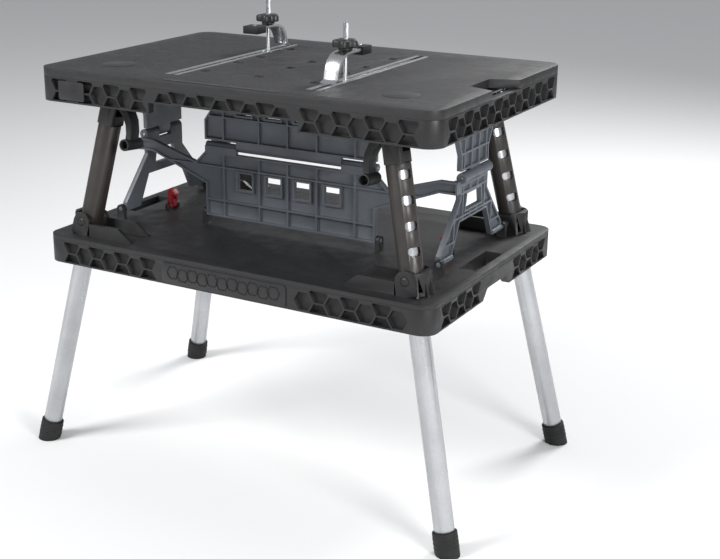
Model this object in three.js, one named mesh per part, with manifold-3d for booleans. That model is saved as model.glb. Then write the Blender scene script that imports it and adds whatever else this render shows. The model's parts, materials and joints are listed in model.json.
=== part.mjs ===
// Folding workbench: a work top and a lower shelf joined by bifold panels and hinged legs.
// Millimetres, +X along the length, +Y to the rear, +Z up, origin on the floor below the centre.
import * as THREE from 'three';
import { mergeVertices } from 'three/addons/utils/BufferGeometryUtils.js';
import Module from 'manifold-3d';

const wasm = await Module();
wasm.setup();

// Work top
const TOP_LENGTH = 850;
const TOP_DEPTH = 557;
const TOP_HEIGHT = 796;
const DECK_THICK = 16;
const TOP_SKIRT = 64;
const TOP_SKIRT_MIDDLE = 44;
const TOP_MIDDLE_LENGTH = 320;
const TOP_NOTCH_REACH = 52;
const TOP_NOTCH_WIDTH = 124;
const TOP_NOTCH_TAPER = 20;
const DOG_HOLE_D = 19;
const DOG_HOLE_X = 120;
const DOG_HOLE_Y = [40, 152];

// Shelf
const SHELF_LENGTH = 850;
const SHELF_DEPTH = 564;
const SHELF_HEIGHT = 463;
const SHELF_PLATE = 8;
const SHELF_SKIRT = 55;
const GRIP_SLOT_WIDTH = 124;
const GRIP_SLOT_REACH = 34;
const GRIP_SLOT_EDGE = 17;
const GRIP_ARCH = 20;
const GRIP_WALL = 4;
const GRIP_DEEP = 34;
const SHELF_PLAIN_FRONT = 290;

// Honeycomb skirts
const CORNER_R = 30;
const SKIRT_WALL = 16;
const CELL_WIDTH = 42;
const CELL_WALL = 3.5;
const CELL_DEPTH = 11;
const CELL_MARGIN = 3;
const CELL_LEAST = 6;

// Legs: each corner's sleeve and tube share one straight, splayed axis
const FOOT_X = 466.5;
const FOOT_Y = 268.5;
const SPLAY_X = 0.2214;
const SPLAY_Y = 0.099;
const SLEEVE_PIVOT_RISE = 23;
const SLEEVE_D = 45;
const SLEEVE_LENGTH = 202;
const SLEEVE_BOSS_R = 19.5;
const CORE_START = 24;
const WINDOW_COUNT = 4;
const WINDOW_PITCH = 45;
const WINDOW_FIRST = 48;
const WINDOW_HIGH = 16;
const WINDOW_WIDE = 25;
const WINDOW_CORNER = 6;
const WINDOW_TURN = -35;
const PIVOT_PIN_R = 8;
const EAR_THICK = 9;
const HEAD_TOP = 292;
const HEAD_X = 38;
const HEAD_Y = 46;
const HEAD_SLOT_LOW = 222;
const LEVER_PIVOT_OFFSET = 8;
const LEVER_PIVOT_Z = 250;
const LEVER_EYE_R = 9;
const LEVER_PIN_R = 4;
const LEVER_WIDTH = 26;
const LEVER_BARREL_OFFSET = 59;
const LEVER_BARREL_Z = 180;
const LEVER_BARREL_R = 11.5;
const LEVER_BARREL_BORE_R = 8.5;
const LEVER_BARREL_LENGTH = 46;
const LEVER_BAND = 12;
const TUBE_D = 38;
const TUBE_WALL = 2.2;
const TUBE_PIVOT_DROP = 32;
const TUBE_PIN_R = 7;
const TUBE_EAR_R = 10.5;
const TUBE_END_Z = 42;
const RIGHT_TUBE_TURN = 12;
const FOOT_TUBE_LENGTH = 150;
const FOOT_D = 46;
const FOOT_CUP = 16;
const SADDLE_WALL = 8;
const SADDLE_HIGH = 24;
const SADDLE_REACH = 122;
const SADDLE_TOE = 2;
const SADDLE_SLOPE = 0.7;
const SLEEVE_ROOM = 1;
const TROUGH_DEEP = 4;
const BUTTRESS_HIGH = 42;
const BUTTRESS_WALL = 9;
const BUTTRESS_RIBS = [-50, -17, 17, 50];
const BUTTRESS_RIB = 4;
const BUTTRESS_RIB_REACH = 40;
const BUTTRESS_RIB_DROP = 6;
const BUTTRESS_START = 8;

// Bifold panels
const PANEL_THICK = 10;
const PANEL_POCKET = 6;
const PANEL_RIB = 4;
const END_HINGE_X = 362;
const END_CENTRE_Y = 22;
const SHELF_HINGE_RISE = 22;
const TOP_HINGE_DROP = 30;
const HINGE_BAR_R = 5;
const TOP_PIN_R = 3.5;
const TOP_EAR_R = 6.5;
const SHELF_EAR_R = 9;
const HINGE_EAR = 9;
const FOOT_HALF = 138;
const FOOT_GAP_LOW = 92;
const FOOT_GAP_HIGH = 60;
const FOOT_GAP_TOP = 58;
const WAIST_HALF = 60;
const WAIST_FROM = 100;
const HEAD_HALF = 105;
const PANEL_TOE = 12;
const END_COLUMNS = [-84, -48, -16, 16, 48, 84];
const FOOT_ROWS = [26, 67, 111];
const HEAD_ROWS = [67, 96];
const FOOT_WINDOW = [[-36, 76], [36, 76], [30, 106], [-30, 106]];
const HEAD_WINDOW = [[-78, 12], [78, 12], [56, 62], [-56, 62]];
const MID_CLEAR = 12.5;
const END_BARREL_R = 10;
const END_KNUCKLE = 20;
const MID_PIN_R = 3;
const CENTRE_HINGE_Y = -45;
const CENTRE_HALF = 195;
const CENTRE_TOP_HALF = 140;
const CENTRE_BARREL_R = 8;
const CENTRE_KNUCKLE = 120;
const ARM_ROOT_LOW = 62;
const ARM_ROOT_HIGH = 104;
const ARM_TIP_LOW = 112;
const ARM_TIP_HIGH = 136;
const ARM_TIP_LENGTH = 36;
const ARM_LUG = 6;
const ARM_SHOULDER = 24;
const CENTRE_SHOULDER = 40;
const CENTRE_COLUMNS = [-150, -66, 0, 66, 150];
const CENTRE_LOW_ROWS = [30, 99];
const CENTRE_HIGH_ROWS = [80];
const CENTRE_WINDOW_X = [-100, -33, 33, 100];
const CENTRE_WINDOW_HALF = 17;
const CENTRE_LOW_WINDOW = [58, 92];
const CENTRE_HIGH_WINDOW = [22, 72];

// Latches
const LATCH_X = 322;
const LATCH_RISE = 7;
const LATCH_HIGH = 38;
const LATCH_WIDE = 20;
const LATCH_PIN_R = 3.5;
const LATCH_STEM = 13;
const LATCH_NOSE = 7;
const LATCH_NOSE_DROP = 14;
const LATCH_HOOK_DROP = 12;
const LATCH_BACK_DROP = 10;
const LATCH_TIP = 2;
const LATCH_EAR = 6;
const LATCH_EYE_LOW = 12;
const LATCH_EYE_HIGH = 21;

// Clamping tracks and hold-down clamps
const TRACK_X = 153;
const TRACK_WIDTH = 30;
const TRACK_HIGH = 12.4;
const TRACK_LENGTH = 430;
const TRACK_SLOT = 9;
const TRACK_CAVITY = 20;
const TRACK_CAVITY_LOW = 3;
const TRACK_CAVITY_HIGH = 9;
const CLAMP_RIGHT_Y = -100;
const CLAMP_LEFT_Y = 120;
const BOLT_R = 4;
const BOLT_HEAD = 18.6;
const BOLT_HEAD_HIGH = 5;
const BOLT_TOP = 104;
const STRAP_WIDE = 30;
const STRAP_THICK = 5;
const STRAP_HIGH = 48;
const STRAP_HEEL = 62;
const STRAP_TOE = 66;
const STRAP_BEND = 40;
const STRAP_HEEL_RISE = 3;
const STRAP_LEAN = 14;
const STRAP_STEPS = 6;
const PAD_THICK = 7;
const PAD_SIZE = 34;
const PAD_LIP = 2;
const PAD_OVER = 3;
const KNOB_HIGH = 20;
const KNOB_LOBES = 5;
const KNOB_LOBE_R = 8;
const KNOB_LOBE_REACH = 16;
const KNOB_BODY_R = 17;
const KNOB_NECK_R = 10.5;
const KNOB_NECK_HIGH = 6;
const KNOB_CROWN = 2;

const GAP = 0.3;
const CUT = 1;
const ROUND = 16;
const SMALL_ROUND = 8;
const HOLE_ROUND = 10;

// Levels and places that follow from the sizes above
const DECK_BOTTOM = TOP_HEIGHT - DECK_THICK;
const SHELF_BOTTOM = SHELF_HEIGHT - SHELF_PLATE;
const SHELF_HINGE_Z = SHELF_HEIGHT + SHELF_HINGE_RISE;
const TOP_HINGE_Z = TOP_HEIGHT - TOP_HINGE_DROP;
const HALF_PANEL = (TOP_HINGE_Z - SHELF_HINGE_Z) / 2;
const MID_HINGE_Z = SHELF_HINGE_Z + HALF_PANEL;
const PLATE_END = HALF_PANEL - MID_CLEAR;
const SLEEVE_PIVOT_Z = SHELF_HEIGHT + SLEEVE_PIVOT_RISE;
const TUBE_PIVOT_Z = SHELF_HEIGHT - TUBE_PIVOT_DROP;
const SLEEVE_BORE = TUBE_D + 2 * GAP;

// Colours read as finishes
const BLACK = { color: 0x1b1c1e, roughness: 0.62, metalness: 0 };
const SLEEVE_BLACK = { color: 0x2b2724, roughness: 0.5, metalness: 0 };
const GREY = { color: 0x565c63, roughness: 0.55, metalness: 0 };
const ALUMINIUM = { color: 0xb4b7ba, roughness: 0.32, metalness: 1 };
const STEEL = { color: 0x8d9094, roughness: 0.35, metalness: 1 };
const RUBBER = { color: 0x121213, roughness: 0.85, metalness: 0 };
const RED = { color: 0x8e1016, roughness: 0.5, metalness: 0 };

const bench = new THREE.Group();

// Solids from three.js geometry, joined and cut as closed bodies
function solid(geometry, matrix) {
  let shape = geometry.clone();
  shape.deleteAttribute('normal');
  shape.deleteAttribute('uv');
  if (matrix) shape.applyMatrix4(matrix);
  shape = mergeVertices(shape, 1e-4);
  return new wasm.Manifold(new wasm.Mesh({
    numProp: 3,
    vertProperties: Float32Array.from(shape.attributes.position.array),
    triVerts: Uint32Array.from(shape.index.array),
  }));
}

function fuse(pieces) {
  return pieces.reduce((whole, piece) => whole.add(piece));
}

function carve(body, cutters) {
  return cutters.reduce((whole, cutter) => whole.subtract(cutter), body);
}

function addMesh(parent, name, body, finish) {
  const { vertProperties, triVerts } = body.getMesh();
  const geometry = new THREE.BufferGeometry();
  geometry.setAttribute('position', new THREE.BufferAttribute(vertProperties, 3));
  geometry.setIndex(new THREE.BufferAttribute(triVerts, 1));
  geometry.computeVertexNormals();
  const mesh = new THREE.Mesh(geometry, new THREE.MeshStandardMaterial(finish));
  mesh.name = name;
  parent.add(mesh);
}

function at(x, y, z) {
  return new THREE.Matrix4().makeTranslation(x, y, z);
}

// A box given by its low and high corners
function block(low, high, frame) {
  const size = high.map((value, axis) => value - low[axis]);
  const middle = high.map((value, axis) => (value + low[axis]) / 2);
  const place = at(...middle);
  if (frame) place.premultiply(frame);
  return solid(new THREE.BoxGeometry(...size), place);
}

// A round bar along one axis between two stations
function bar(axis, radius, from, to, centre, sides = ROUND, frame = null) {
  const turn = new THREE.Matrix4();
  if (axis === 'x') turn.makeRotationZ(-Math.PI / 2);
  if (axis === 'z') turn.makeRotationX(Math.PI / 2);
  const middle = (from + to) / 2;
  const [a, b] = centre;
  const places = { x: [middle, a, b], y: [a, middle, b], z: [a, b, middle] };
  const place = at(...places[axis]).multiply(turn);
  if (frame) place.premultiply(frame);
  return solid(new THREE.CylinderGeometry(radius, radius, to - from, sides), place);
}

// A hole whose flats keep clear of a turning pin of the given radius
function bore(axis, pinRadius, from, to, centre, frame = null) {
  const radius = (pinRadius + GAP) / Math.cos(Math.PI / SMALL_ROUND);
  return bar(axis, radius, from, to, centre, SMALL_ROUND, frame);
}

// A hinge ear: a plate with a round end at the pin and a square root, with its pin hole cut
function ear(axis, radius, pinRadius, span, pin, root, frame = null) {
  const down = Math.sign(root - pin[1]);
  const shape = new THREE.Shape();
  shape.moveTo(-radius, root - pin[1]);
  shape.lineTo(-radius, 0);
  shape.absarc(0, 0, radius, Math.PI, 0, down < 0);
  shape.lineTo(radius, root - pin[1]);
  const place = axis === 'y' ? ALONG_FRONT.clone() : ALONG_X.clone();
  place.setPosition(axis === 'y' ? new THREE.Vector3(pin[0], span[1], pin[1])
    : new THREE.Vector3(span[0], pin[0], pin[1]));
  if (frame) place.premultiply(frame);
  const drill = bore(axis, pinRadius, span[0] - CUT, span[1] + CUT, pin, frame);
  return extrude(shape, span[1] - span[0], place, 3).subtract(drill);
}

function outline(points) {
  return new THREE.Shape(points.map(([u, v]) => new THREE.Vector2(u, v)));
}

function extrude(shape, depth, frame, curveSegments = 8) {
  const options = { depth, bevelEnabled: false, curveSegments };
  return solid(new THREE.ExtrudeGeometry(shape, options), frame);
}

function roundedRectangle(length, depth, radius) {
  const x = length / 2;
  const y = depth / 2;
  const shape = new THREE.Shape();
  shape.moveTo(-x + radius, -y);
  shape.lineTo(x - radius, -y);
  shape.absarc(x - radius, -y + radius, radius, -Math.PI / 2, 0);
  shape.lineTo(x, y - radius);
  shape.absarc(x - radius, y - radius, radius, 0, Math.PI / 2);
  shape.lineTo(-x + radius, y);
  shape.absarc(-x + radius, y - radius, radius, Math.PI / 2, Math.PI);
  shape.lineTo(-x, -y + radius);
  shape.absarc(-x + radius, -y + radius, radius, Math.PI, 1.5 * Math.PI);
  return shape;
}

// A plate with a flat outline: sketch axes (u, v) and depth w laid on world axes
const ALONG_X = new THREE.Matrix4().makeBasis(
  new THREE.Vector3(0, 1, 0), new THREE.Vector3(0, 0, 1), new THREE.Vector3(1, 0, 0));
const ALONG_FRONT = new THREE.Matrix4().makeBasis(
  new THREE.Vector3(1, 0, 0), new THREE.Vector3(0, 0, 1), new THREE.Vector3(0, -1, 0));

// The same corners moved inwards (or outwards when the distance is negative)
function inset(points, distance) {
  const count = points.length;
  const area = points.reduce((sum, [x, y], i) => {
    const [p, q] = points[(i + 1) % count];
    return sum + x * q - p * y;
  }, 0);
  const side = Math.sign(area) * distance;
  return points.map(([x, y], i) => {
    const before = points[(i + count - 1) % count];
    const after = points[(i + 1) % count];
    const a = new THREE.Vector2(x - before[0], y - before[1]).normalize();
    const b = new THREE.Vector2(after[0] - x, after[1] - y).normalize();
    const scale = side / (1 + a.dot(b));
    return [x - (a.y + b.y) * scale, y + (a.x + b.x) * scale];
  });
}

// A ribbed panel: plate with windows, thinned to a skin between its ribs
function ribbedPanel(edge, windows, columns, rows, [pocketFrom, pocketTo], frame) {
  const through = frame.clone().multiply(at(0, 0, -CUT));
  const holes = windows.map((window) => extrude(outline(window), PANEL_THICK + 2 * CUT, through));
  const plate = carve(extrude(outline(edge), PANEL_THICK, frame), holes);
  const depthFrame = frame.clone().multiply(at(0, 0, pocketFrom));
  const frames = windows.map((window) => {
    const surround = outline(inset(window, -PANEL_RIB));
    return extrude(surround, PANEL_THICK + 2 * CUT, through);
  });
  const hollow = extrude(outline(inset(edge, PANEL_RIB)), pocketTo - pocketFrom, depthFrame);
  let pockets = carve(hollow, frames);
  const reach = [Math.min(...edge.map((p) => p[0])), Math.max(...edge.map((p) => p[0]))];
  const rise = [Math.min(...edge.map((p) => p[1])), Math.max(...edge.map((p) => p[1]))];
  for (const u of columns) {
    const low = [u - PANEL_RIB / 2, rise[0] - CUT, pocketFrom - CUT];
    const high = [u + PANEL_RIB / 2, rise[1] + CUT, pocketTo + CUT];
    pockets = pockets.subtract(block(low, high, frame));
  }
  for (const v of rows) {
    const low = [reach[0] - CUT, v - PANEL_RIB / 2, pocketFrom - CUT];
    const high = [reach[1] + CUT, v + PANEL_RIB / 2, pocketTo + CUT];
    pockets = pockets.subtract(block(low, high, frame));
  }
  return plate.subtract(pockets);
}

// Honeycomb pockets in one straight face, clipped to the face's height
function honeycomb(from, to, low, high, frame, keepOut) {
  const radius = (CELL_WIDTH - CELL_WALL) / 2;
  const rise = CELL_WIDTH * Math.sqrt(3) / 2;
  const step = CELL_WIDTH * 0.75;
  const count = Math.floor((to - from - CELL_WIDTH) / step) + 1;
  const start = (from + to - (count - 1) * step) / 2;
  const cells = [];
  for (let column = 0; column < count; column += 1) {
    const u = start + column * step;
    if (keepOut && u > keepOut[0] && u < keepOut[1]) continue;
    const shift = column % 2 ? rise / 2 : 0;
    for (let v = low - rise + shift; v < high + rise; v += rise) {
      const half = radius * Math.sqrt(3) / 2;
      const bottom = Math.max(v - half, low);
      const top = Math.min(v + half, high);
      if (top - bottom < CELL_LEAST) continue;
      const widthAt = (level) => radius - Math.abs(level - v) / Math.sqrt(3);
      const corners = [[u - widthAt(bottom), bottom], [u + widthAt(bottom), bottom]];
      const waist = v > bottom && v < top;
      if (waist) corners.push([u + radius, v]);
      corners.push([u + widthAt(top), top], [u - widthAt(top), top]);
      if (waist) corners.push([u - radius, v]);
      cells.push(extrude(outline(corners), CELL_DEPTH + CUT, frame));
    }
  }
  return cells;
}

// Four skirt lengths below a plate: front and rear carry the round corners
function skirts(name, length, depth, low, high, options) {
  const ring = roundedRectangle(length, depth, CORNER_R);
  const inside = [length - 2 * SKIRT_WALL, depth - 2 * SKIRT_WALL, CORNER_R - SKIRT_WALL];
  ring.holes.push(roundedRectangle(...inside));
  const body = extrude(ring, high - low, at(0, 0, low), 6);
  const split = depth / 2 - CORNER_R;
  const bandLow = low + CELL_MARGIN;
  const bandHigh = high - CELL_MARGIN;
  for (const side of [-1, 1]) {
    const cut = [side * split, side * (depth / 2 + CUT)].sort((a, b) => a - b);
    const span = block([-length / 2 - CUT, cut[0], low - CUT], [length / 2 + CUT, cut[1], high + CUT]);
    const face = side < 0
      ? ALONG_FRONT.clone().setPosition(0, -depth / 2 + CELL_DEPTH, 0)
      : ALONG_FRONT.clone().setPosition(0, depth / 2 + CUT, 0);
    const plain = side < 0 ? options.plainFront : null;
    const run = length / 2 - CORNER_R;
    const middle = options.middle / 2;
    let piece = body.intersect(span);
    if (middle) {
      const rise = low + options.middleRise;
      piece = piece.subtract(block([-middle, cut[0] - CUT, low - CUT], [middle, cut[1] + CUT, rise]));
      const cells = [
        ...honeycomb(-run, -middle, bandLow, bandHigh, face),
        ...honeycomb(-middle, middle, rise + CELL_MARGIN, bandHigh, face),
        ...honeycomb(middle, run, bandLow, bandHigh, face)];
      piece = carve(piece, cells);
    } else {
      piece = carve(piece, honeycomb(-run, run, bandLow, bandHigh, face, plain));
    }
    addMesh(bench, `${name}_${side < 0 ? 'front' : 'rear'}`, piece, BLACK);
  }
  for (const side of [-1, 1]) {
    const cut = [side * (length / 2 - CORNER_R), side * (length / 2 + CUT)].sort((a, b) => a - b);
    const reach = split - GAP;
    const span = block([cut[0], -reach, low - CUT], [cut[1], reach, high + CUT]);
    const face = side > 0
      ? ALONG_X.clone().setPosition(length / 2 - CELL_DEPTH, 0, 0)
      : ALONG_X.clone().setPosition(-length / 2 - CUT, 0, 0);
    const opening = options.endOpening(side);
    const keepOut = opening ? [-opening.half - CELL_WIDTH / 2, opening.half + CELL_WIDTH / 2] : null;
    let piece = carve(body.intersect(span), honeycomb(-reach, reach, bandLow, bandHigh, face, keepOut));
    if (opening) {
      const corners = [[-opening.half, opening.from], [opening.half, opening.from],
        [opening.half - opening.slope, opening.to], [-opening.half + opening.slope, opening.to]];
      const arch = ALONG_X.clone().setPosition(cut[0] - CUT, 0, 0);
      piece = piece.subtract(extrude(outline(corners), cut[1] - cut[0] + 2 * CUT, arch));
    }
    addMesh(bench, `${name}_${side < 0 ? 'left' : 'right'}`, piece, BLACK);
  }
}

// Corner frames: local Z runs up the leg, local Y lies along its hinge pin
function legAxis(sideX, sideY) {
  return new THREE.Vector3(-sideX * SPLAY_X, -sideY * SPLAY_Y, 1).normalize();
}

function legPoint(sideX, sideY, z) {
  return new THREE.Vector3(sideX * (FOOT_X - SPLAY_X * z), sideY * (FOOT_Y - SPLAY_Y * z), z);
}

function cornerFrame(sideX, sideY, z, foldTurn) {
  const up = legAxis(sideX, sideY);
  const turn = THREE.MathUtils.degToRad(foldTurn);
  const folded = new THREE.Vector3(-Math.cos(turn), -sideX * sideY * Math.sin(turn), 0);
  const pin = new THREE.Vector3().crossVectors(folded, up).normalize();
  const across = new THREE.Vector3().crossVectors(pin, up);
  return new THREE.Matrix4().makeBasis(across, pin, up).setPosition(legPoint(sideX, sideY, z));
}

const CORNERS = [
  { name: 'front_left', x: -1, y: -1 },
  { name: 'front_right', x: 1, y: -1 },
  { name: 'rear_left', x: -1, y: 1 },
  { name: 'rear_right', x: 1, y: 1 },
];

function tubeTurn(corner) {
  return corner.x > 0 ? RIGHT_TUBE_TURN : 0;
}

function placed(frame) {
  const group = new THREE.Group();
  frame.decompose(group.position, group.quaternion, group.scale);
  bench.add(group);
  return group;
}

// Work top
function makeDeck() {
  const plate = roundedRectangle(TOP_LENGTH, TOP_DEPTH, CORNER_R);
  let deck = extrude(plate, DECK_THICK, at(0, 0, DECK_BOTTOM), 6);
  for (const side of [-1, 1]) {
    const half = TRACK_WIDTH / 2 + GAP;
    const end = TRACK_LENGTH / 2 + GAP;
    const low = [side * TRACK_X - half, -end, TOP_HEIGHT - TRACK_HIGH - GAP];
    deck = deck.subtract(block(low, [side * TRACK_X + half, end, TOP_HEIGHT + CUT]));
  }
  for (const x of [-DOG_HOLE_X, 0, DOG_HOLE_X]) {
    for (const y of DOG_HOLE_Y) {
      for (const side of [-1, 1]) {
        const centre = [x, side * y];
        deck = deck.subtract(
          bar('z', DOG_HOLE_D / 2, DECK_BOTTOM - CUT, TOP_HEIGHT + CUT, centre, HOLE_ROUND));
      }
    }
  }
  const half = TOP_NOTCH_WIDTH / 2;
  const end = TOP_LENGTH / 2;
  const notch = outline([[end - TOP_NOTCH_REACH, -half + TOP_NOTCH_TAPER], [end + CUT, -half],
    [end + CUT, half], [end - TOP_NOTCH_REACH, half - TOP_NOTCH_TAPER]]);
  deck = deck.subtract(extrude(notch, DECK_THICK + 2 * CUT, at(0, 0, DECK_BOTTOM - CUT)));
  const root = DECK_BOTTOM + CUT;
  const ears = [];
  for (const side of [-1, 1]) {
    for (const end of [-1, 1]) {
      const from = END_CENTRE_Y + end * (HEAD_HALF + 2 * GAP);
      const span = [from, from + end * HINGE_EAR].sort((a, b) => a - b);
      ears.push(ear('y', TOP_EAR_R, TOP_PIN_R, span, [side * END_HINGE_X, TOP_HINGE_Z], root));
    }
    const from = side * (CENTRE_TOP_HALF + 2 * GAP);
    const span = [from, from + side * HINGE_EAR].sort((a, b) => a - b);
    ears.push(ear('x', TOP_EAR_R, TOP_PIN_R, span, [CENTRE_HINGE_Y, TOP_HINGE_Z], root));
  }
  deck = fuse([deck, ...ears]);
  addMesh(bench, 'top_deck', deck, BLACK);
}

function makeTracks() {
  const base = TOP_HEIGHT - TRACK_HIGH;
  for (const side of [-1, 1]) {
    const x = side * TRACK_X;
    const end = TRACK_LENGTH / 2;
    const body = block([x - TRACK_WIDTH / 2, -end, base], [x + TRACK_WIDTH / 2, end, TOP_HEIGHT]);
    const slot = block([x - TRACK_SLOT / 2, -end - CUT, base + TRACK_CAVITY_LOW],
      [x + TRACK_SLOT / 2, end + CUT, TOP_HEIGHT + CUT]);
    const cavity = block([x - TRACK_CAVITY / 2, -end - CUT, base + TRACK_CAVITY_LOW],
      [x + TRACK_CAVITY / 2, end + CUT, base + TRACK_CAVITY_HIGH]);
    addMesh(bench, side < 0 ? 'track_left' : 'track_right', carve(body, [slot, cavity]), ALUMINIUM);
  }
}

// Shelf tray with leg saddles, hinge ears, latch ears and the tube hinges below
function saddle(corner) {
  const frame = cornerFrame(corner.x, corner.y, SLEEVE_PIVOT_Z, 0);
  const inner = SLEEVE_D / 2 + 2 * GAP;
  const outer = inner + EAR_THICK;
  const pivot = legPoint(corner.x, corner.y, SLEEVE_PIVOT_Z);
  const added = [];
  for (const side of [-1, 1]) {
    const span = [side * inner, side * outer].sort((a, b) => a - b);
    const root = -SLEEVE_PIVOT_RISE - SHELF_PLATE / 2;
    added.push(ear('y', SLEEVE_BOSS_R, PIVOT_PIN_R, span, [0, 0], root, frame));
    const wall = [pivot.y + side * (outer - SADDLE_WALL), pivot.y + side * outer].sort((a, b) => a - b);
    const ramp = corner.x * (SADDLE_REACH - SLEEVE_BOSS_R);
    const slope = outline([[0, -SHELF_PLATE / 2], [-ramp, -SHELF_PLATE / 2], [-ramp, SADDLE_TOE],
      [-ramp * SADDLE_SLOPE, SADDLE_HIGH], [0, SADDLE_HIGH]]);
    const start = pivot.x - corner.x * SLEEVE_BOSS_R;
    const place = ALONG_FRONT.clone().setPosition(start, wall[1], SHELF_HEIGHT);
    added.push(extrude(slope, SADDLE_WALL, place));
  }
  const room = SLEEVE_D / 2 + SLEEVE_ROOM;
  const ring = bar('z', room + BUTTRESS_WALL, SHELF_HEIGHT - SHELF_PLATE / 2,
    SHELF_HEIGHT + BUTTRESS_HIGH, [pivot.x, pivot.y], HOLE_ROUND);
  const ribs = BUTTRESS_RIBS.map((angle) => {
    const radial = BUTTRESS_RIB_REACH;
    const crest = BUTTRESS_HIGH - BUTTRESS_RIB_DROP;
    const shape = outline([[0, -SHELF_PLATE / 2], [radial, -SHELF_PLATE / 2], [radial, 0],
      [room + BUTTRESS_WALL / 2, crest], [0, crest]]);
    const heading = THREE.MathUtils.degToRad(corner.x > 0 ? angle : 180 + angle);
    const place = at(pivot.x, pivot.y, SHELF_HEIGHT)
      .multiply(new THREE.Matrix4().makeRotationZ(heading))
      .multiply(ALONG_FRONT.clone().setPosition(0, BUTTRESS_RIB / 2, 0));
    return extrude(shape, BUTTRESS_RIB, place);
  });
  const beyond = SLEEVE_D;
  const far = pivot.x + corner.x * 2 * beyond;
  const outward = [pivot.x + corner.x * BUTTRESS_START, far].sort((a, b) => a - b);
  const keep = block([outward[0], pivot.y - beyond, SHELF_HEIGHT - SHELF_PLATE],
    [outward[1], pivot.y + beyond, SHELF_HEIGHT + BUTTRESS_HIGH + CUT]);
  const buttress = fuse([ring, ...ribs]).intersect(keep);
  const clear = block([-room, -inner, -SLEEVE_PIVOT_RISE + GAP], [room, inner, 2 * BUTTRESS_HIGH],
    frame);
  const trough = [pivot.x + corner.x * room, pivot.x - corner.x * SADDLE_REACH]
    .sort((a, b) => a - b);
  const bed = block([trough[0], pivot.y - inner, SHELF_HEIGHT - TROUGH_DEEP],
    [trough[1], pivot.y + inner, SHELF_HEIGHT + CUT]);
  return { added: [...added, buttress.subtract(clear)], bed };
}

function tubeHinge(corner) {
  const frame = cornerFrame(corner.x, corner.y, TUBE_PIVOT_Z, tubeTurn(corner));
  const inner = TUBE_D / 2 + 2 * GAP;
  const outer = inner + EAR_THICK;
  const lid = block([-FOOT_X, -FOOT_Y, SHELF_BOTTOM - SHELF_SKIRT], [FOOT_X, FOOT_Y, SHELF_HEIGHT - CUT]);
  return [-1, 1].map((side) => {
    const span = [side * inner, side * outer].sort((a, b) => a - b);
    return ear('y', TUBE_EAR_R, TUBE_PIN_R, span, [0, 0], TUBE_PIVOT_DROP, frame).intersect(lid);
  });
}

function makeShelf() {
  const plate = roundedRectangle(SHELF_LENGTH, SHELF_DEPTH, CORNER_R);
  const tray = extrude(plate, SHELF_PLATE, at(0, 0, SHELF_BOTTOM), 6);
  const added = [];
  const holes = [];
  for (const corner of CORNERS) {
    const seat = saddle(corner);
    added.push(...seat.added, ...tubeHinge(corner));
    holes.push(seat.bed);
  }
  const root = SHELF_BOTTOM + CUT;
  for (const side of [-1, 1]) {
    for (const end of [-1, 1]) {
      const from = END_CENTRE_Y + end * (FOOT_HALF + 2 * GAP);
      const span = [from, from + end * HINGE_EAR].sort((a, b) => a - b);
      const pin = [side * END_HINGE_X, SHELF_HINGE_Z];
      added.push(ear('y', SHELF_EAR_R, HINGE_BAR_R, span, pin, root));
      const near = end * (LATCH_WIDE / 2 + 2 * GAP);
      const latchSpan = [near, near + end * LATCH_EAR].sort((a, b) => a - b);
      const latchPin = [side * LATCH_X, SHELF_HEIGHT + LATCH_RISE];
      added.push(ear('y', LATCH_RISE, LATCH_PIN_R, latchSpan, latchPin, root));
    }
    const from = side * (CENTRE_HALF + 2 * GAP);
    const span = [from, from + side * HINGE_EAR].sort((a, b) => a - b);
    added.push(ear('x', SHELF_EAR_R, HINGE_BAR_R, span, [CENTRE_HINGE_Y, SHELF_HINGE_Z], root));
    const slotOut = side * (SHELF_LENGTH / 2 - GRIP_SLOT_EDGE);
    const slot = [slotOut, slotOut - side * GRIP_SLOT_REACH].sort((a, b) => a - b);
    const half = GRIP_SLOT_WIDTH / 2;
    holes.push(block([slot[0], -half, SHELF_BOTTOM - GRIP_DEEP - CUT], [slot[1], half, SHELF_HEIGHT + CUT]));
    const pocket = [slotOut, slotOut - side * (GRIP_SLOT_REACH + GRIP_WALL)].sort((a, b) => a - b);
    added.push(block([pocket[0], -half - GRIP_WALL, SHELF_BOTTOM - GRIP_DEEP],
      [pocket[1], half + GRIP_WALL, root]));
  }
  addMesh(bench, 'shelf_tray', carve(fuse([tray, ...added]), holes), BLACK);
}

// Bifold end panels
const FOOT_EDGE = [
  [-FOOT_HALF, -HINGE_BAR_R], [-FOOT_GAP_LOW, -HINGE_BAR_R], [-FOOT_GAP_HIGH, FOOT_GAP_TOP],
  [FOOT_GAP_HIGH, FOOT_GAP_TOP], [FOOT_GAP_LOW, -HINGE_BAR_R], [FOOT_HALF, -HINGE_BAR_R],
  [FOOT_HALF, PANEL_TOE], [WAIST_HALF, WAIST_FROM], [WAIST_HALF, PLATE_END], [-WAIST_HALF, PLATE_END],
  [-WAIST_HALF, WAIST_FROM], [-FOOT_HALF, PANEL_TOE]];
const HEAD_EDGE = [
  [-HEAD_HALF, -HINGE_BAR_R], [HEAD_HALF, -HINGE_BAR_R], [HEAD_HALF, PANEL_TOE],
  [WAIST_HALF, WAIST_FROM], [WAIST_HALF, PLATE_END], [-WAIST_HALF, PLATE_END],
  [-WAIST_HALF, WAIST_FROM], [-HEAD_HALF, PANEL_TOE]];

function downwards(points) {
  return points.map(([u, v]) => [u, -v]);
}

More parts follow.
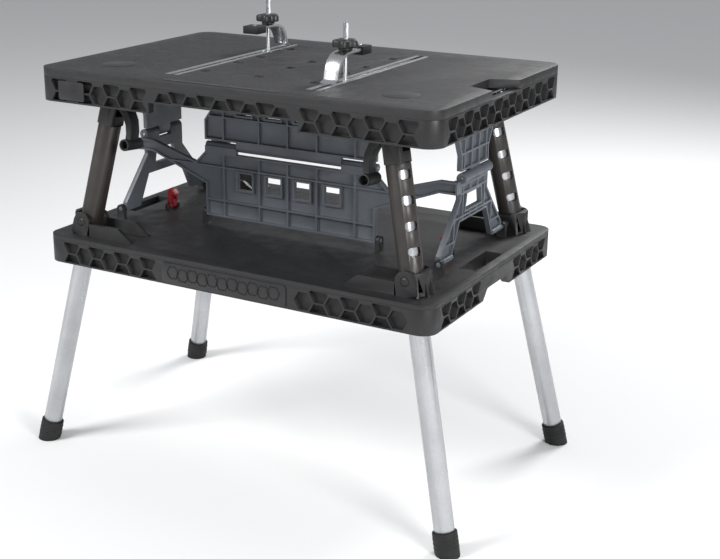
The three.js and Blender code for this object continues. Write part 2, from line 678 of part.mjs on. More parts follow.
function makeEndPanels() {
  for (const side of [-1, 1]) {
    const name = side < 0 ? 'left' : 'right';
    const inner = side < 0 ? -END_HINGE_X : END_HINGE_X - PANEL_THICK;
    const pocket = side < 0
      ? [-CUT, PANEL_POCKET]
      : [PANEL_THICK - PANEL_POCKET, PANEL_THICK + CUT];
    const x = side * END_HINGE_X;
    const foot = ALONG_X.clone().setPosition(inner, END_CENTRE_Y, SHELF_HINGE_Z);
    let lower = ribbedPanel(FOOT_EDGE, [FOOT_WINDOW], END_COLUMNS, FOOT_ROWS, pocket, foot);
    const head = ALONG_X.clone().setPosition(inner, END_CENTRE_Y, TOP_HINGE_Z);
    let upper = ribbedPanel(downwards(HEAD_EDGE), [downwards(HEAD_WINDOW)], END_COLUMNS,
      HEAD_ROWS.map((row) => -row), pocket, head);
    for (const end of [-1, 1]) {
      const toe = [END_CENTRE_Y + end * FOOT_GAP_LOW, END_CENTRE_Y + end * (FOOT_HALF + HINGE_EAR)]
        .sort((a, b) => a - b);
      lower = lower.add(bar('y', HINGE_BAR_R, toe[0], toe[1], [x, SHELF_HINGE_Z], SMALL_ROUND));
      const knuckle = [END_CENTRE_Y + end * END_KNUCKLE, END_CENTRE_Y + end * WAIST_HALF]
        .sort((a, b) => a - b);
      lower = lower.add(bar('y', END_BARREL_R, knuckle[0], knuckle[1], [x, MID_HINGE_Z]));
      lower = lower.add(block([inner, knuckle[0], MID_HINGE_Z - MID_CLEAR - CUT],
        [inner + PANEL_THICK, knuckle[1], MID_HINGE_Z]));
    }
    const around = (half) => [END_CENTRE_Y - half, END_CENTRE_Y + half];
    const [coreFrom, coreTo] = around(END_KNUCKLE - GAP);
    upper = fuse([upper,
      bar('y', END_BARREL_R, coreFrom, coreTo, [x, MID_HINGE_Z]),
      block([inner, coreFrom, MID_HINGE_Z],
        [inner + PANEL_THICK, coreTo, MID_HINGE_Z + MID_CLEAR + CUT]),
      bar('y', HINGE_BAR_R, ...around(HEAD_HALF), [x, TOP_HINGE_Z], SMALL_ROUND),
      bar('y', TOP_PIN_R, ...around(HEAD_HALF + HINGE_EAR), [x, TOP_HINGE_Z], SMALL_ROUND)]);
    const pinHole = bore('y', MID_PIN_R, ...around(WAIST_HALF + CUT), [x, MID_HINGE_Z]);
    addMesh(bench, `end_panel_lower_${name}`, lower.subtract(pinHole), GREY);
    addMesh(bench, `end_panel_upper_${name}`, upper.subtract(pinHole), GREY);
    const pin = bar('y', MID_PIN_R, ...around(WAIST_HALF), [x, MID_HINGE_Z], SMALL_ROUND);
    addMesh(bench, `end_hinge_pin_${name}`, pin, STEEL);
  }
}

// Centre panel: two halves, the lower one with arms that brace the end panels' waists
function makeCentrePanel() {
  const tip = END_HINGE_X;
  const y = CENTRE_HINGE_Y;
  const edge = [[-CENTRE_HALF, -HINGE_BAR_R], [CENTRE_HALF, -HINGE_BAR_R], [CENTRE_HALF, ARM_ROOT_LOW],
    [tip - ARM_TIP_LENGTH, ARM_TIP_LOW], [tip, ARM_TIP_LOW], [tip, ARM_TIP_HIGH],
    [tip - ARM_TIP_LENGTH, ARM_TIP_HIGH], [CENTRE_HALF + ARM_SHOULDER, ARM_ROOT_HIGH],
    [CENTRE_HALF, PLATE_END], [-CENTRE_HALF, PLATE_END],
    [-CENTRE_HALF - ARM_SHOULDER, ARM_ROOT_HIGH], [-tip + ARM_TIP_LENGTH, ARM_TIP_HIGH],
    [-tip, ARM_TIP_HIGH], [-tip, ARM_TIP_LOW], [-tip + ARM_TIP_LENGTH, ARM_TIP_LOW],
    [-CENTRE_HALF, ARM_ROOT_LOW]];
  const windowRow = ([low, high]) => CENTRE_WINDOW_X.map((x) => {
    const left = x - CENTRE_WINDOW_HALF;
    const right = x + CENTRE_WINDOW_HALF;
    return [[left, low], [right, low], [right, high], [left, high]];
  });
  const upperEdge = [[-CENTRE_TOP_HALF, -HINGE_BAR_R], [CENTRE_TOP_HALF, -HINGE_BAR_R],
    [CENTRE_TOP_HALF, 2 * TOP_EAR_R], [CENTRE_HALF, PLATE_END - CENTRE_SHOULDER],
    [CENTRE_HALF, PLATE_END], [-CENTRE_HALF, PLATE_END],
    [-CENTRE_HALF, PLATE_END - CENTRE_SHOULDER], [-CENTRE_TOP_HALF, 2 * TOP_EAR_R]];
  const pocket = [PANEL_THICK - PANEL_POCKET, PANEL_THICK + CUT];
  let lower = ribbedPanel(edge, windowRow(CENTRE_LOW_WINDOW), CENTRE_COLUMNS, CENTRE_LOW_ROWS, pocket,
    ALONG_FRONT.clone().setPosition(0, y, SHELF_HINGE_Z));
  let upper = ribbedPanel(downwards(upperEdge), windowRow(CENTRE_HIGH_WINDOW).map(downwards),
    CENTRE_COLUMNS, CENTRE_HIGH_ROWS.map((row) => -row), pocket,
    ALONG_FRONT.clone().setPosition(0, y, TOP_HINGE_Z));
  for (const side of [-1, 1]) {
    const knuckle = [side * CENTRE_KNUCKLE, side * CENTRE_HALF].sort((a, b) => a - b);
    lower = lower.add(bar('x', CENTRE_BARREL_R, ...knuckle, [y, MID_HINGE_Z], SMALL_ROUND));
    lower = lower.add(block([knuckle[0], y - PANEL_THICK, MID_HINGE_Z - MID_CLEAR - CUT],
      [knuckle[1], y, MID_HINGE_Z]));
    const lug = [side * (tip - ARM_TIP_LENGTH / 3), side * tip].sort((a, b) => a - b);
    lower = lower.add(block([lug[0], y - CUT, SHELF_HINGE_Z + ARM_TIP_LOW],
      [lug[1], y + ARM_LUG, SHELF_HINGE_Z + ARM_TIP_HIGH]));
  }
  lower = lower.add(bar('x', HINGE_BAR_R, -CENTRE_HALF - HINGE_EAR, CENTRE_HALF + HINGE_EAR,
    [y, SHELF_HINGE_Z], SMALL_ROUND));
  const core = CENTRE_KNUCKLE - GAP;
  upper = fuse([upper,
    bar('x', CENTRE_BARREL_R, -core, core, [y, MID_HINGE_Z], SMALL_ROUND),
    block([-core, y - PANEL_THICK, MID_HINGE_Z], [core, y, MID_HINGE_Z + MID_CLEAR + CUT]),
    bar('x', HINGE_BAR_R, -CENTRE_TOP_HALF, CENTRE_TOP_HALF, [y, TOP_HINGE_Z], SMALL_ROUND),
    bar('x', TOP_PIN_R, -CENTRE_TOP_HALF - HINGE_EAR, CENTRE_TOP_HALF + HINGE_EAR, [y, TOP_HINGE_Z],
      SMALL_ROUND)]);
  const pinHole = bore('x', MID_PIN_R, -CENTRE_HALF - CUT, CENTRE_HALF + CUT, [y, MID_HINGE_Z]);
  addMesh(bench, 'centre_panel_lower', lower.subtract(pinHole), GREY);
  addMesh(bench, 'centre_panel_upper', upper.subtract(pinHole), GREY);
  const pin = bar('x', MID_PIN_R, -CENTRE_HALF, CENTRE_HALF, [y, MID_HINGE_Z], SMALL_ROUND);
  addMesh(bench, 'centre_hinge_pin', pin, STEEL);
}

// Leg sleeves with their aluminium cores, heads and lock levers
function makeSleeve(corner, group) {
  const pinReach = SLEEVE_D / 2 + 2 * GAP + EAR_THICK;
  let sleeve = fuse([
    bar('z', SLEEVE_D / 2, 0, SLEEVE_LENGTH, [0, 0]),
    bar('y', SLEEVE_BOSS_R, -SLEEVE_D / 2, SLEEVE_D / 2, [0, 0]),
    bar('y', PIVOT_PIN_R, -pinReach, pinReach, [0, 0], SMALL_ROUND)]);
  sleeve = sleeve.subtract(bar('z', SLEEVE_BORE / 2, CORE_START - GAP, SLEEVE_LENGTH + CUT, [0, 0]));
  const heading = THREE.MathUtils.degToRad(WINDOW_TURN) + (corner.x > 0 ? 0 : Math.PI);
  const facing = new THREE.Matrix4().makeRotationZ(heading);
  for (let i = 0; i < WINDOW_COUNT; i += 1) {
    const place = at(0, 0, WINDOW_FIRST + i * WINDOW_PITCH).multiply(facing).multiply(ALONG_X);
    const opening = roundedRectangle(WINDOW_WIDE, WINDOW_HIGH, WINDOW_CORNER);
    sleeve = sleeve.subtract(extrude(opening, SLEEVE_D, place, 2));
  }
  addMesh(group, `leg_sleeve_${corner.name}`, sleeve, SLEEVE_BLACK);
  const core = bar('z', TUBE_D / 2, CORE_START, SLEEVE_LENGTH, [0, 0])
    .subtract(bar('z', TUBE_D / 2 - TUBE_WALL, CORE_START - CUT, SLEEVE_LENGTH + CUT, [0, 0]));
  addMesh(group, `sleeve_core_${corner.name}`, core, ALUMINIUM);
}

function makeHead(corner, group) {
  const base = SLEEVE_LENGTH + GAP;
  const shape = roundedRectangle(HEAD_X, HEAD_Y, HEAD_X / 4);
  let head = extrude(shape, HEAD_TOP - base, at(0, 0, base), 3);
  const inward = -corner.x;
  const fork = LEVER_WIDTH / 2 + 2 * GAP;
  const slot = block([-HEAD_X, -fork, HEAD_SLOT_LOW], [HEAD_X, fork, HEAD_TOP + CUT]);
  const drill = bore('y', LEVER_PIN_R, -HEAD_Y, HEAD_Y,
    [inward * LEVER_PIVOT_OFFSET, LEVER_PIVOT_Z]);
  const plug = bar('z', TUBE_D / 2 - TUBE_WALL - GAP, SLEEVE_LENGTH - HEAD_X / 2, base + CUT, [0, 0]);
  head = carve(head.add(plug), [slot, drill]);
  addMesh(group, `leg_head_${corner.name}`, head, BLACK);
}

function makeLever(corner, group) {
  const inward = -corner.x;
  const eye = [inward * LEVER_PIVOT_OFFSET, LEVER_PIVOT_Z];
  const barrel = [inward * LEVER_BARREL_OFFSET, LEVER_BARREL_Z];
  const half = LEVER_WIDTH / 2;
  const pinReach = HEAD_Y / 2;
  const bow = [inward * (LEVER_BARREL_OFFSET + LEVER_BAND / 2), LEVER_PIVOT_Z - LEVER_BAND / 3];
  const band = new THREE.Shape();
  band.moveTo(eye[0], eye[1] + LEVER_BAND / 2);
  band.quadraticCurveTo(bow[0], bow[1] + LEVER_BAND / 2,
    barrel[0] + inward * LEVER_BAND / 2, barrel[1]);
  band.lineTo(barrel[0] - inward * LEVER_BAND / 2, barrel[1]);
  band.quadraticCurveTo(bow[0] - inward * LEVER_BAND, bow[1] - LEVER_BAND,
    eye[0], eye[1] - LEVER_BAND / 2);
  const lever = carve(fuse([
    extrude(band, LEVER_WIDTH, ALONG_FRONT.clone().setPosition(0, half, 0), 5),
    bar('y', LEVER_EYE_R, -half, half, eye, SMALL_ROUND),
    bar('y', LEVER_PIN_R, -pinReach, pinReach, eye, SMALL_ROUND),
    bar('y', LEVER_BARREL_R, -LEVER_BARREL_LENGTH / 2, LEVER_BARREL_LENGTH / 2, barrel)]), [
    bar('y', LEVER_BARREL_BORE_R, -LEVER_BARREL_LENGTH, LEVER_BARREL_LENGTH, barrel)]);
  addMesh(group, `lock_lever_${corner.name}`, lever, BLACK);
}

// Lower leg tubes with sliding foot tubes and rubber feet
function makeTube(corner) {
  const frame = cornerFrame(corner.x, corner.y, TUBE_PIVOT_Z, tubeTurn(corner));
  const group = placed(frame);
  const lean = legAxis(corner.x, corner.y).z;
  const end = -(TUBE_PIVOT_Z - TUBE_END_Z) / lean;
  const floor = -TUBE_PIVOT_Z / lean;
  const pinReach = TUBE_D / 2 + 2 * GAP + EAR_THICK;
  const inside = TUBE_D / 2 - TUBE_WALL;
  const tube = fuse([
    bar('z', TUBE_D / 2, end, 0, [0, 0]),
    bar('y', TUBE_D / 2, -TUBE_D / 2, TUBE_D / 2, [0, 0]),
    bar('y', TUBE_PIN_R, -pinReach, pinReach, [0, 0], SMALL_ROUND)])
    .subtract(bar('z', inside, end - CUT, -TUBE_D / 2 - TUBE_WALL, [0, 0]));
  addMesh(group, `leg_tube_${corner.name}`, tube, ALUMINIUM);
  const sliderEnd = end + FOOT_TUBE_LENGTH;
  const slider = bar('z', inside - GAP, end - FOOT_CUP + GAP, sliderEnd, [0, 0])
    .subtract(bar('z', inside - GAP - TUBE_WALL, end - FOOT_CUP - CUT, sliderEnd + CUT, [0, 0]));
  addMesh(group, `foot_tube_${corner.name}`, slider, ALUMINIUM);
  const ground = block([-2 * FOOT_X, -2 * FOOT_Y, 0], [2 * FOOT_X, 2 * FOOT_Y, TUBE_PIVOT_Z]);
  const cup = bar('z', FOOT_D / 2, floor - FOOT_D / 2, end - GAP, [0, 0], ROUND, frame)
    .subtract(bar('z', inside, end - FOOT_CUP, end, [0, 0], ROUND, frame))
    .intersect(ground);
  addMesh(bench, `foot_${corner.name}`, cup, RUBBER);
}

// Red hook latches that hold the folded bench closed
function makeLatch(side) {
  const name = side < 0 ? 'left' : 'right';
  const z = SHELF_HEIGHT + LATCH_RISE;
  const inward = -side;
  const stem = LATCH_STEM / 2;
  const hook = [[-stem, 0], [stem, 0], [stem, LATCH_HIGH - LATCH_HOOK_DROP],
    [stem + LATCH_NOSE, LATCH_HIGH - LATCH_NOSE_DROP], [stem - LATCH_TIP, LATCH_HIGH - LATCH_TIP],
    [0, LATCH_HIGH], [-stem, LATCH_HIGH - LATCH_BACK_DROP]];
  const shape = outline(hook.map(([u, v]) => [u * inward, v]));
  const place = ALONG_FRONT.clone().setPosition(side * LATCH_X, LATCH_WIDE / 2, z);
  const reach = LATCH_WIDE / 2 + 2 * GAP + LATCH_EAR;
  const middle = [side * LATCH_X, z];
  const latch = fuse([extrude(shape, LATCH_WIDE, place),
    bar('y', stem, -LATCH_WIDE / 2, LATCH_WIDE / 2, middle, SMALL_ROUND),
    bar('y', LATCH_PIN_R, -reach, reach, middle, SMALL_ROUND)]);
  const slot = block([middle[0] - LATCH_STEM, -LATCH_WIDE / 4, z + LATCH_EYE_LOW],
    [middle[0] + LATCH_STEM, LATCH_WIDE / 4, z + LATCH_EYE_HIGH]);
  addMesh(bench, `latch_${name}`, latch.subtract(slot), RED);
}

// Hold-down clamps: bolt in the track, bent strap, pressing pad and lobed knob
function makeClamp(name, x, y, facing) {
  const cavity = TOP_HEIGHT - TRACK_HIGH + TRACK_CAVITY_LOW;
  const boltHead = block([x - BOLT_HEAD / 2, y - BOLT_HEAD / 2, cavity + GAP],
    [x + BOLT_HEAD / 2, y + BOLT_HEAD / 2, cavity + GAP + BOLT_HEAD_HIGH]);
  const stem = bar('z', BOLT_R, cavity + GAP + CUT, TOP_HEIGHT + BOLT_TOP, [x, y], SMALL_ROUND);
  const bolt = boltHead.add(stem);
  addMesh(bench, `clamp_bolt_${name}`, bolt, STEEL);
  const t = STRAP_THICK;
  const arm = new THREE.Shape();
  arm.moveTo(-STRAP_HEEL * facing, STRAP_HEEL_RISE);
  arm.lineTo((STRAP_LEAN - STRAP_HEEL) * facing, STRAP_HIGH - STRAP_BEND);
  arm.quadraticCurveTo((2 * STRAP_LEAN - STRAP_HEEL) * facing, STRAP_HIGH,
    (STRAP_BEND - STRAP_HEEL + STRAP_LEAN) * facing, STRAP_HIGH);
  arm.lineTo(STRAP_TOE * facing, STRAP_HIGH);
  arm.lineTo(STRAP_TOE * facing, STRAP_HIGH + t);
  arm.lineTo((STRAP_BEND - STRAP_HEEL + STRAP_LEAN) * facing, STRAP_HIGH + t);
  arm.quadraticCurveTo((STRAP_LEAN - STRAP_HEEL) * facing, STRAP_HIGH + t,
    (STRAP_LEAN - STRAP_HEEL - t) * facing, STRAP_HIGH - STRAP_BEND);
  arm.lineTo((-STRAP_HEEL - t) * facing, STRAP_HEEL_RISE);
  const strap = extrude(arm, STRAP_WIDE,
    ALONG_X.clone().setPosition(x - STRAP_WIDE / 2, y, TOP_HEIGHT + GAP), STRAP_STEPS)
    .subtract(bore('z', BOLT_R, TOP_HEIGHT, TOP_HEIGHT + BOLT_TOP, [x, y]));
  addMesh(bench, `clamp_strap_${name}`, strap, ALUMINIUM);
  const ends = [y + facing * (STRAP_TOE + PAD_LIP - PAD_SIZE), y + facing * (STRAP_TOE + PAD_LIP)]
    .sort((a, b) => a - b);
  const under = TOP_HEIGHT + STRAP_HIGH;
  const toe = [y, y + facing * (STRAP_TOE + GAP)].sort((a, b) => a - b);
  const sock = block([x - STRAP_WIDE / 2 - GAP, toe[0], under], [x + STRAP_WIDE / 2 + GAP, toe[1],
    under + STRAP_THICK + 2 * GAP]);
  const pad = block([x - PAD_SIZE / 2, ends[0], under - PAD_THICK],
    [x + PAD_SIZE / 2, ends[1], under + STRAP_THICK + PAD_OVER]).subtract(sock);
  addMesh(bench, `clamp_pad_${name}`, pad, RUBBER);
  const low = TOP_HEIGHT + GAP + STRAP_HIGH + t + GAP;
  const neck = low + KNOB_NECK_HIGH;
  const lobes = [bar('z', KNOB_BODY_R, neck - CUT, low + KNOB_HIGH, [x, y]),
    bar('z', KNOB_NECK_R, low, neck, [x, y])];
  for (let i = 0; i < KNOB_LOBES; i += 1) {
    const angle = i * 2 * Math.PI / KNOB_LOBES;
    const centre = [x + KNOB_LOBE_REACH * Math.cos(angle), y + KNOB_LOBE_REACH * Math.sin(angle)];
    lobes.push(bar('z', KNOB_LOBE_R, neck, low + KNOB_HIGH - KNOB_CROWN, centre, SMALL_ROUND));
  }
  const knob = fuse(lobes)
    .subtract(bore('z', BOLT_R, low - CUT, low + KNOB_HIGH + CUT, [x, y]));
  addMesh(bench, `clamp_knob_${name}`, knob, BLACK);
}

makeDeck();
makeTracks();
skirts('top_skirt', TOP_LENGTH, TOP_DEPTH, TOP_HEIGHT - TOP_SKIRT, DECK_BOTTOM - GAP, {
  middle: TOP_MIDDLE_LENGTH,
  middleRise: TOP_SKIRT - TOP_SKIRT_MIDDLE,
  plainFront: null,
  endOpening: () => null,
});
makeShelf();
skirts('shelf_skirt', SHELF_LENGTH, SHELF_DEPTH, SHELF_HEIGHT - SHELF_SKIRT, SHELF_BOTTOM - GAP, {
  middle: 0,
  middleRise: 0,
  plainFront: [-SHELF_PLAIN_FRONT / 2, SHELF_PLAIN_FRONT / 2],
  endOpening: () => ({
    half: GRIP_SLOT_WIDTH / 2,
    slope: GRIP_ARCH,
    from: SHELF_HEIGHT - SHELF_SKIRT - CUT,
    to: SHELF_HEIGHT - SHELF_SKIRT + GRIP_ARCH,
  }),
});
makeEndPanels();
makeCentrePanel();
for (const corner of CORNERS) {
  const group = placed(cornerFrame(corner.x, corner.y, SLEEVE_PIVOT_Z, 0));
  makeSleeve(corner, group);
  makeHead(corner, group);
  makeLever(corner, group);
  makeTube(corner);
}
makeLatch(-1);
makeLatch(1);
makeClamp('right', TRACK_X, CLAMP_RIGHT_Y, 1);
makeClamp('left', -TRACK_X, CLAMP_LEFT_Y, -1);

bench.updateMatrixWorld(true);

export default bench;
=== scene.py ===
import json
import math

import bmesh
import bpy
from mathutils import Matrix, Vector


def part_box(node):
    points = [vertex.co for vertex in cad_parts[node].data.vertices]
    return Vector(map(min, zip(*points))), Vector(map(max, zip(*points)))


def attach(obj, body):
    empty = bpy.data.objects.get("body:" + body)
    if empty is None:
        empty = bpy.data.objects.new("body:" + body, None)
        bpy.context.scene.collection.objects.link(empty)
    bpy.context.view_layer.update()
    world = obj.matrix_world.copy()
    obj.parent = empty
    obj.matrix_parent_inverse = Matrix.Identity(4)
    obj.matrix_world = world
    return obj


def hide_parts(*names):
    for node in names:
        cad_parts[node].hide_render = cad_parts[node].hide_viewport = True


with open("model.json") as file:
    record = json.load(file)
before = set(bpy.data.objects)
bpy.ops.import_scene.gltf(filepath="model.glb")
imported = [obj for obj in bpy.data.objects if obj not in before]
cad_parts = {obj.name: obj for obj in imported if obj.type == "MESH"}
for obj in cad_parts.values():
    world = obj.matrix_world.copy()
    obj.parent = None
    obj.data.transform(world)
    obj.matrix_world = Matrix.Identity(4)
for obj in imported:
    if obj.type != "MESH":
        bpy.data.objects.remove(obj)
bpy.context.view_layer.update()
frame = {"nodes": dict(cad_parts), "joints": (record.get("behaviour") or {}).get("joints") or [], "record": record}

# Photograph's camera
IMAGE_WIDTH, IMAGE_HEIGHT = 720, 559
FOCAL_PX = 1310.54
PRINCIPAL_PX = (304.81, 277.55)
CAMERA_AT = (1.31259, -2.16251, 1.21636)
CAMERA_YAW = 31.12
CAMERA_PITCH = 18.66
SENSOR = 36.0

# Softened edges of the carried-over solids
EDGE_SOFT = 0.0007
EDGE_ANGLE = math.radians(38)
SMOOTH_ANGLE = math.radians(33)
EDGE_STEPS = 2
WELD_REACH = 0.00002

# Textures: (scale, detail) of each noise, depths in metres, shares of colour and roughness
NOISE_BAND = (0.3, 0.7)
TONE_STOPS = (0.35, 0.68)
DRIFT = (9, 6)
RUB = (34, 5)
RUB_SPREAD = 0.1
GRAIN_DETAIL = 2
GRAIN_DEEP = 0.00025
GRAIN_STRENGTH = 0.35
SMEAR = (14, 5)
SMEAR_STOPS = (0.3, 0.72)
SMEAR_TONES = (0.9, 1.08)
DRAW_LINES = (900, 3)
DRAW_SPREAD = (-0.06, 0.1)
DRAW_DEEP = 0.0001
DRAW_STRENGTH = 0.12
DECK_SPREAD = 0.14
DECK_RUB = (30, 5)
DECK_ROUGH = (0.42, 0.62)
DECK_GRAIN = 1400
DECK_GRAIN_STRENGTH = 0.3
HATCH_DEEP = 0.0006
HATCH_STRENGTH = 0.8

# Detail sizes, in metres
HATCH_PITCH = 0.0055
HATCH_BORDER = 0.022
HATCH_SKIN = 0.0004
DISC_AT = (0.307, -0.177)
DISC_R = 0.0325
DISC_HIGH = 0.0007
DISC_SHOULDER = 0.6
LEDGE_X = (-0.133, 0.112)
LEDGE_BACK = 0.011
LEDGE_INSET = 0.006
LEDGE_HIGH = 0.0009
LEDGE_CORNER = 0.002
LEDGE_SOFT = 0.0002
TICK_STEP = 0.010
TICK_LONG_EVERY = 5
TICK_LONG = 0.7
TICK_SHORT = 0.4
TICK_INSET = 0.0008
TICK_WIDE = 0.0007
TICK_CORNER = 0.0002
TICK_HIGH = 0.0003
BADGE_SIZE = (0.062, 0.036)
BADGE_EDGE = 0.052
BADGE_HIGH = 0.0014
BADGE_CORNER = 0.004
BADGE_SOFT = 0.0004
FRONT_PANEL_HALF = 0.138
FRONT_PANEL_HIGH = 0.0022
FRONT_PANEL_MARGIN = 0.006
FRONT_PANEL_CORNER = 0.005
FRONT_PANEL_SOFT = 0.0006
HEX_R = 0.015
HEX_LINE = 0.0016
HEX_HIGH = 0.0009
HEX_STAGGER = 0.2
DOG_HOLES = [(x, y) for x in (-0.12, 0.0, 0.12) for y in (-0.152, -0.04, 0.04, 0.152)]
DOG_HOLE_R = 0.0095
RIM_WIDTH = 0.0022
RIM_SINK = 0.0006
RIB_RING_R = 0.0222
FOOT_RIBS = (0.30, 0.48, 0.66)
RIB_R = 0.0013
THREAD_R = 0.0041
THREAD_PITCH = 0.0016
THREAD_DEEP = 0.0006
THREAD_SINK = 0.0002
THREAD_HALF = 0.4
THREAD_STEPS = 14
THREAD_FOOT = 0.0005
THREAD_END = 0.001
KNOB_R = 0.0245
KNOB_LOBES = 5
KNOB_LOBE_DEEP = 0.13
KNOB_LOBED_FROM = 0.26
KNOB_LOBED_TO = 0.99
KNOB_AROUND = 60
KNOB_SECTIONS = ((0.50, 0.0), (0.54, 0.06), (0.54, 0.24), (0.92, 0.30), (1.0, 0.38), (1.0, 0.78),
                 (0.95, 0.90), (0.82, 0.97), (0.45, 1.0))
CAP_R = 0.0064
CAP_HIGH = 0.0012
CAP_SEARCH = 1.4
CAP_PROFILE = ((0, -0.5), (1, -0.5), (1, 0.3), (0.8, 1), (0.45, 1), (0.4, 0.4), (0, 0.4))
STUD_R = 0.0052
STUD_PROFILE = ((0, 0), (1, 0), (1, 0.0012), (0.7, 0.0022), (0, 0.0026))

# Stage and light
FLOOR_SIZE = 30
FLOOR_DROP = 0.0005
FLOOR_COLOUR = (0.86, 0.86, 0.86, 1)
FLOOR_ROUGH = 0.9
WORLD_COLOUR = (0.9, 0.92, 0.95, 1)
WORLD_STRENGTH = 0.42
LAMP_AIM = (0, 0, 0.45)
LAMPS = (("key", (-1.6, -2.4, 2.8), 1.4, 110), ("fill", (2.8, -1.4, 1.6), 1.2, 60),
         ("rim", (0.6, 2.6, 2.6), 1.4, 80))


# Materials
def start_material(name):
    material = bpy.data.materials.new(name)
    material.use_nodes = True
    nodes = material.node_tree.nodes
    return material, nodes, material.node_tree.links, nodes["Principled BSDF"]


def noise(nodes, links, place, scale, detail=4.0, stretch=(1, 1, 1)):
    mapping = nodes.new("ShaderNodeMapping")
    mapping.inputs["Scale"].default_value = stretch
    texture = nodes.new("ShaderNodeTexNoise")
    texture.inputs["Scale"].default_value = scale
    texture.inputs["Detail"].default_value = detail
    links.new(place.outputs["Object"], mapping.inputs["Vector"])
    links.new(mapping.outputs["Vector"], texture.inputs["Vector"])
    return texture.outputs["Fac"]


def ramp(nodes, links, source, stops):
    node = nodes.new("ShaderNodeValToRGB")
    elements = node.color_ramp.elements
    for element, (position, colour) in zip(elements, stops):
        element.position = position
        element.color = (*colour, 1)
    links.new(source, node.inputs["Fac"])
    return node.outputs["Color"]


def remap(nodes, links, source, low, high):
    node = nodes.new("ShaderNodeMapRange")
    node.inputs["From Min"].default_value = NOISE_BAND[0]
    node.inputs["From Max"].default_value = NOISE_BAND[1]
    node.inputs["To Min"].default_value = low
    node.inputs["To Max"].default_value = high
    links.new(source, node.inputs["Value"])
    return node.outputs["Result"]


def bump(nodes, links, height, depth, strength, before=None):
    node = nodes.new("ShaderNodeBump")
    node.inputs["Strength"].default_value = strength
    node.inputs["Distance"].default_value = depth
    links.new(height, node.inputs["Height"])
    if before is not None:
        links.new(before, node.inputs["Normal"])
    return node.outputs["Normal"]


def tinted(colour, factor):
    return tuple(min(1.0, part * factor) for part in colour)


def tone_stops(colour, places, factors):
    return [(place, tinted(colour, factor)) for place, factor in zip(places, factors)]


def moulded_plastic(name, colour, rough, grain=1400, spread=0.14):
    """Moulded plastic: fine spark grain, slow tone drift and a rubbed gloss that wanders."""
    material, nodes, links, shader = start_material(name)
    place = nodes.new("ShaderNodeTexCoord")
    drift = noise(nodes, links, place, *DRIFT)
    stops = tone_stops(colour, TONE_STOPS, (1 - spread, 1 + spread))
    links.new(ramp(nodes, links, drift, stops), shader.inputs["Base Color"])
    rub = noise(nodes, links, place, *RUB)
    rubbed = remap(nodes, links, rub, rough - RUB_SPREAD, rough + RUB_SPREAD)
    links.new(rubbed, shader.inputs["Roughness"])
    fine = noise(nodes, links, place, grain, GRAIN_DETAIL)
    links.new(bump(nodes, links, fine, GRAIN_DEEP, GRAIN_STRENGTH), shader.inputs["Normal"])
    return material


def brushed_metal(name, colour, rough, stretch):
    """Bright metal with draw lines along the stretched axis and faint smears."""
    material, nodes, links, shader = start_material(name)
    shader.inputs["Metallic"].default_value = 1.0
    place = nodes.new("ShaderNodeTexCoord")
    smear = noise(nodes, links, place, *SMEAR)
    stops = tone_stops(colour, SMEAR_STOPS, SMEAR_TONES)
    links.new(ramp(nodes, links, smear, stops), shader.inputs["Base Color"])
    lines = noise(nodes, links, place, *DRAW_LINES, stretch)
    drawn = remap(nodes, links, lines, rough + DRAW_SPREAD[0], rough + DRAW_SPREAD[1])
    links.new(drawn, shader.inputs["Roughness"])
    links.new(bump(nodes, links, lines, DRAW_DEEP, DRAW_STRENGTH), shader.inputs["Normal"])
    return material


def math_node(nodes, links, operation, first, second):
    node = nodes.new("ShaderNodeMath")
    node.operation = operation
    for socket, value in zip(node.inputs, (first, second)):
        if isinstance(value, (int, float)):
            socket.default_value = value
        else:
            links.new(value, socket)
    return node.outputs["Value"]


def hatched_deck(name, colour, half_x, half_y, top):
    """Deck plastic: a raised cross-hatch on the upper face inside a smooth border."""
    material, nodes, links, shader = start_material(name)
    place = nodes.new("ShaderNodeTexCoord")
    split = nodes.new("ShaderNodeSeparateXYZ")
    links.new(place.outputs["Object"], split.inputs["Vector"])
    x, y, z = (split.outputs[axis] for axis in "XYZ")
    wave_number = 2 * math.pi / HATCH_PITCH
    diagonals = []
    for operation in ("ADD", "SUBTRACT"):
        phase = math_node(nodes, links, "MULTIPLY",
                          math_node(nodes, links, operation, x, y), wave_number)
        diagonals.append(math_node(nodes, links, "SINE", phase, 0))
    weave = math_node(nodes, links, "MAXIMUM", *diagonals)
    inside_x = math_node(nodes, links, "LESS_THAN",
                         math_node(nodes, links, "ABSOLUTE", x, 0), half_x - HATCH_BORDER)
    inside_y = math_node(nodes, links, "LESS_THAN",
                         math_node(nodes, links, "ABSOLUTE", y, 0), half_y - HATCH_BORDER)
    upper = math_node(nodes, links, "GREATER_THAN", z, top - HATCH_SKIN)
    inside = math_node(nodes, links, "MULTIPLY", inside_x, inside_y)
    mask = math_node(nodes, links, "MULTIPLY", inside, upper)
    height = math_node(nodes, links, "MULTIPLY", weave, mask)
    drift = noise(nodes, links, place, *DRIFT)
    stops = tone_stops(colour, TONE_STOPS, (1 - DECK_SPREAD, 1 + DECK_SPREAD))
    links.new(ramp(nodes, links, drift, stops), shader.inputs["Base Color"])
    rub = noise(nodes, links, place, *DECK_RUB)
    links.new(remap(nodes, links, rub, *DECK_ROUGH), shader.inputs["Roughness"])
    grain = noise(nodes, links, place, DECK_GRAIN, GRAIN_DETAIL)
    fine = bump(nodes, links, grain, GRAIN_DEEP, DECK_GRAIN_STRENGTH)
    hatch = bump(nodes, links, height, HATCH_DEEP, HATCH_STRENGTH, fine)
    links.new(hatch, shader.inputs["Normal"])
    return material


